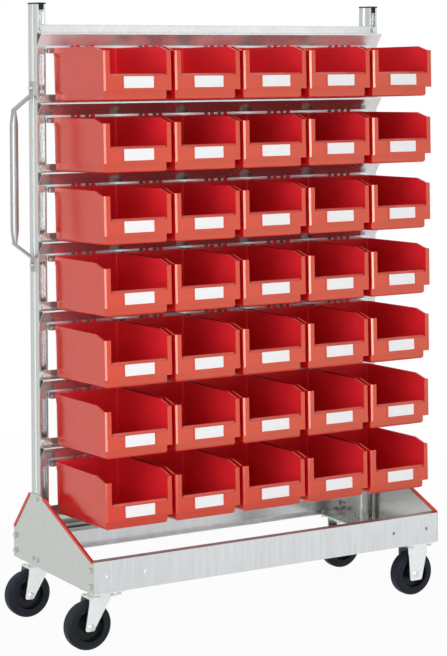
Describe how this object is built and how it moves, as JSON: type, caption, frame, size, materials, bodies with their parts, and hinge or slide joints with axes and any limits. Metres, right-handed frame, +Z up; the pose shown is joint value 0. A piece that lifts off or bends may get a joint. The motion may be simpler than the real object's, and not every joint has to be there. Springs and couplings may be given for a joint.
{
  "type": "mobile bin rack",
  "caption": "Upright steel rack on swivel and fixed casters, with folded rails that carry rows of lift-off open-fronted storage bins, and a push handle at one end.",
  "frame": {"origin": "on the floor under the middle of the whole rack", "axes": "+X along the rack away from the handle, -Y towards the open fronts of the bins, +Z up"},
  "size_m": [1.156, 0.4718, 1.645],
  "materials": {
    "galvanised": "satin zinc",
    "red_plastic": "matt",
    "black_plastic": "matt",
    "rubber": "matt"
  },
  "bodies": {
    "frame": {"uprights": "galvanised", "upright_caps": "black_plastic", "bin_rails": "galvanised", "frame_bolts": "galvanised", "push_handle": "galvanised", "left_side_panel": "galvanised", "right_side_panel": "galvanised", "panel_edge_trims": "red_plastic", "front_beam": "galvanised", "rear_beam": "galvanised", "swivel_plates": "galvanised", "fixed_forks": "galvanised", "fixed_axles": "galvanised"},
    "front_swivel": {"front_swivel_fork": "galvanised", "front_swivel_axle": "galvanised"},
    "front_swivel_wheel": {"front_swivel_tyre": "rubber", "front_swivel_hub": "black_plastic"},
    "front_fixed_wheel": {"front_fixed_tyre": "rubber", "front_fixed_hub": "black_plastic"},
    "rear_swivel": {"rear_swivel_fork": "galvanised", "rear_swivel_axle": "galvanised"},
    "rear_swivel_wheel": {"rear_swivel_tyre": "rubber", "rear_swivel_hub": "black_plastic"},
    "rear_fixed_wheel": {"rear_fixed_tyre": "rubber", "rear_fixed_hub": "black_plastic"},
    "bin_r1_c1_body": {"bin_r1_c1": "red_plastic"},
    "bin_r1_c2_body": {"bin_r1_c2": "red_plastic"},
    "bin_r1_c3_body": {"bin_r1_c3": "red_plastic"},
    "bin_r1_c4_body": {"bin_r1_c4": "red_plastic"},
    "bin_r1_c5_body": {"bin_r1_c5": "red_plastic"},
    "bin_r2_c1_body": {"bin_r2_c1": "red_plastic"},
    "bin_r2_c2_body": {"bin_r2_c2": "red_plastic"},
    "bin_r2_c3_body": {"bin_r2_c3": "red_plastic"},
    "bin_r2_c4_body": {"bin_r2_c4": "red_plastic"},
    "bin_r2_c5_body": {"bin_r2_c5": "red_plastic"},
    "bin_r3_c1_body": {"bin_r3_c1": "red_plastic"},
    "bin_r3_c2_body": {"bin_r3_c2": "red_plastic"},
    "bin_r3_c3_body": {"bin_r3_c3": "red_plastic"},
    "bin_r3_c4_body": {"bin_r3_c4": "red_plastic"},
    "bin_r3_c5_body": {"bin_r3_c5": "red_plastic"},
    "bin_r4_c1_body": {"bin_r4_c1": "red_plastic"},
    "bin_r4_c2_body": {"bin_r4_c2": "red_plastic"},
    "bin_r4_c3_body": {"bin_r4_c3": "red_plastic"},
    "bin_r4_c4_body": {"bin_r4_c4": "red_plastic"},
    "bin_r4_c5_body": {"bin_r4_c5": "red_plastic"},
    "bin_r5_c1_body": {"bin_r5_c1": "red_plastic"},
    "bin_r5_c2_body": {"bin_r5_c2": "red_plastic"},
    "bin_r5_c3_body": {"bin_r5_c3": "red_plastic"},
    "bin_r5_c4_body": {"bin_r5_c4": "red_plastic"},
    "bin_r5_c5_body": {"bin_r5_c5": "red_plastic"},
    "bin_r6_c1_body": {"bin_r6_c1": "red_plastic"},
    "bin_r6_c2_body": {"bin_r6_c2": "red_plastic"},
    "bin_r6_c3_body": {"bin_r6_c3": "red_plastic"},
    "bin_r6_c4_body": {"bin_r6_c4": "red_plastic"},
    "bin_r6_c5_body": {"bin_r6_c5": "red_plastic"},
    "bin_r7_c1_body": {"bin_r7_c1": "red_plastic"},
    "bin_r7_c2_body": {"bin_r7_c2": "red_plastic"},
    "bin_r7_c3_body": {"bin_r7_c3": "red_plastic"},
    "bin_r7_c4_body": {"bin_r7_c4": "red_plastic"},
    "bin_r7_c5_body": {"bin_r7_c5": "red_plastic"}
  },
  "joints": [
    {"name": "front_swivel_turn", "type": "hinge", "parent": "frame", "child": "front_swivel", "pos_m": [-0.4645, -0.17261, 0.138], "axis": [0, 0, 1], "continuous": true},
    {"name": "front_swivel_roll", "type": "hinge", "parent": "front_swivel", "child": "front_swivel_wheel", "pos_m": [-0.5035, -0.17261, 0.0625], "axis": [0, 1, 0], "continuous": true},
    {"name": "front_fixed_roll", "type": "hinge", "parent": "frame", "child": "front_fixed_wheel", "pos_m": [0.5155, -0.17261, 0.0625], "axis": [0, 1, 0], "continuous": true},
    {"name": "rear_swivel_turn", "type": "hinge", "parent": "frame", "child": "rear_swivel", "pos_m": [-0.4645, 0.17939, 0.138], "axis": [0, 0, 1], "continuous": true},
    {"name": "rear_swivel_roll", "type": "hinge", "parent": "rear_swivel", "child": "rear_swivel_wheel", "pos_m": [-0.5035, 0.17939, 0.0625], "axis": [0, 1, 0], "continuous": true},
    {"name": "rear_fixed_roll", "type": "hinge", "parent": "frame", "child": "rear_fixed_wheel", "pos_m": [0.5155, 0.17939, 0.0625], "axis": [0, 1, 0], "continuous": true},
    {"name": "bin_r1_c1_lift", "type": "slide", "parent": "frame", "child": "bin_r1_c1_body", "axis": [0, -0.6428, 0.766], "range_m": [0, 0.04]},
    {"name": "bin_r1_c2_lift", "type": "slide", "parent": "frame", "child": "bin_r1_c2_body", "axis": [0, -0.6428, 0.766], "range_m": [0, 0.04]},
    {"name": "bin_r1_c3_lift", "type": "slide", "parent": "frame", "child": "bin_r1_c3_body", "axis": [0, -0.6428, 0.766], "range_m": [0, 0.04]},
    {"name": "bin_r1_c4_lift", "type": "slide", "parent": "frame", "child": "bin_r1_c4_body", "axis": [0, -0.6428, 0.766], "range_m": [0, 0.04]},
    {"name": "bin_r1_c5_lift", "type": "slide", "parent": "frame", "child": "bin_r1_c5_body", "axis": [0, -0.6428, 0.766], "range_m": [0, 0.04]},
    {"name": "bin_r2_c1_lift", "type": "slide", "parent": "frame", "child": "bin_r2_c1_body", "axis": [0, -0.6428, 0.766], "range_m": [0, 0.04]},
    {"name": "bin_r2_c2_lift", "type": "slide", "parent": "frame", "child": "bin_r2_c2_body", "axis": [0, -0.6428, 0.766], "range_m": [0, 0.04]},
    {"name": "bin_r2_c3_lift", "type": "slide", "parent": "frame", "child": "bin_r2_c3_body", "axis": [0, -0.6428, 0.766], "range_m": [0, 0.04]},
    {"name": "bin_r2_c4_lift", "type": "slide", "parent": "frame", "child": "bin_r2_c4_body", "axis": [0, -0.6428, 0.766], "range_m": [0, 0.04]},
    {"name": "bin_r2_c5_lift", "type": "slide", "parent": "frame", "child": "bin_r2_c5_body", "axis": [0, -0.6428, 0.766], "range_m": [0, 0.04]},
    {"name": "bin_r3_c1_lift", "type": "slide", "parent": "frame", "child": "bin_r3_c1_body", "axis": [0, -0.6428, 0.766], "range_m": [0, 0.04]},
    {"name": "bin_r3_c2_lift", "type": "slide", "parent": "frame", "child": "bin_r3_c2_body", "axis": [0, -0.6428, 0.766], "range_m": [0, 0.04]},
    {"name": "bin_r3_c3_lift", "type": "slide", "parent": "frame", "child": "bin_r3_c3_body", "axis": [0, -0.6428, 0.766], "range_m": [0, 0.04]},
    {"name": "bin_r3_c4_lift", "type": "slide", "parent": "frame", "child": "bin_r3_c4_body", "axis": [0, -0.6428, 0.766], "range_m": [0, 0.04]},
    {"name": "bin_r3_c5_lift", "type": "slide", "parent": "frame", "child": "bin_r3_c5_body", "axis": [0, -0.6428, 0.766], "range_m": [0, 0.04]},
    {"name": "bin_r4_c1_lift", "type": "slide", "parent": "frame", "child": "bin_r4_c1_body", "axis": [0, -0.6428, 0.766], "range_m": [0, 0.04]},
    {"name": "bin_r4_c2_lift", "type": "slide", "parent": "frame", "child": "bin_r4_c2_body", "axis": [0, -0.6428, 0.766], "range_m": [0, 0.04]},
    {"name": "bin_r4_c3_lift", "type": "slide", "parent": "frame", "child": "bin_r4_c3_body", "axis": [0, -0.6428, 0.766], "range_m": [0, 0.04]},
    {"name": "bin_r4_c4_lift", "type": "slide", "parent": "frame", "child": "bin_r4_c4_body", "axis": [0, -0.6428, 0.766], "range_m": [0, 0.04]},
    {"name": "bin_r4_c5_lift", "type": "slide", "parent": "frame", "child": "bin_r4_c5_body", "axis": [0, -0.6428, 0.766], "range_m": [0, 0.04]},
    {"name": "bin_r5_c1_lift", "type": "slide", "parent": "frame", "child": "bin_r5_c1_body", "axis": [0, -0.6428, 0.766], "range_m": [0, 0.04]},
    {"name": "bin_r5_c2_lift", "type": "slide", "parent": "frame", "child": "bin_r5_c2_body", "axis": [0, -0.6428, 0.766], "range_m": [0, 0.04]},
    {"name": "bin_r5_c3_lift", "type": "slide", "parent": "frame", "child": "bin_r5_c3_body", "axis": [0, -0.6428, 0.766], "range_m": [0, 0.04]},
    {"name": "bin_r5_c4_lift", "type": "slide", "parent": "frame", "child": "bin_r5_c4_body", "axis": [0, -0.6428, 0.766], "range_m": [0, 0.04]},
    {"name": "bin_r5_c5_lift", "type": "slide", "parent": "frame", "child": "bin_r5_c5_body", "axis": [0, -0.6428, 0.766], "range_m": [0, 0.04]},
    {"name": "bin_r6_c1_lift", "type": "slide", "parent": "frame", "child": "bin_r6_c1_body", "axis": [0, -0.6428, 0.766], "range_m": [0, 0.04]},
    {"name": "bin_r6_c2_lift", "type": "slide", "parent": "frame", "child": "bin_r6_c2_body", "axis": [0, -0.6428, 0.766], "range_m": [0, 0.04]},
    {"name": "bin_r6_c3_lift", "type": "slide", "parent": "frame", "child": "bin_r6_c3_body", "axis": [0, -0.6428, 0.766], "range_m": [0, 0.04]},
    {"name": "bin_r6_c4_lift", "type": "slide", "parent": "frame", "child": "bin_r6_c4_body", "axis": [0, -0.6428, 0.766], "range_m": [0, 0.04]},
    {"name": "bin_r6_c5_lift", "type": "slide", "parent": "frame", "child": "bin_r6_c5_body", "axis": [0, -0.6428, 0.766], "range_m": [0, 0.04]},
    {"name": "bin_r7_c1_lift", "type": "slide", "parent": "frame", "child": "bin_r7_c1_body", "axis": [0, -0.6428, 0.766], "range_m": [0, 0.04]},
    {"name": "bin_r7_c2_lift", "type": "slide", "parent": "frame", "child": "bin_r7_c2_body", "axis": [0, -0.6428, 0.766], "range_m": [0, 0.04]},
    {"name": "bin_r7_c3_lift", "type": "slide", "parent": "frame", "child": "bin_r7_c3_body", "axis": [0, -0.6428, 0.766], "range_m": [0, 0.04]},
    {"name": "bin_r7_c4_lift", "type": "slide", "parent": "frame", "child": "bin_r7_c4_body", "axis": [0, -0.6428, 0.766], "range_m": [0, 0.04]},
    {"name": "bin_r7_c5_lift", "type": "slide", "parent": "frame", "child": "bin_r7_c5_body", "axis": [0, -0.6428, 0.766], "range_m": [0, 0.04]}
  ]
}
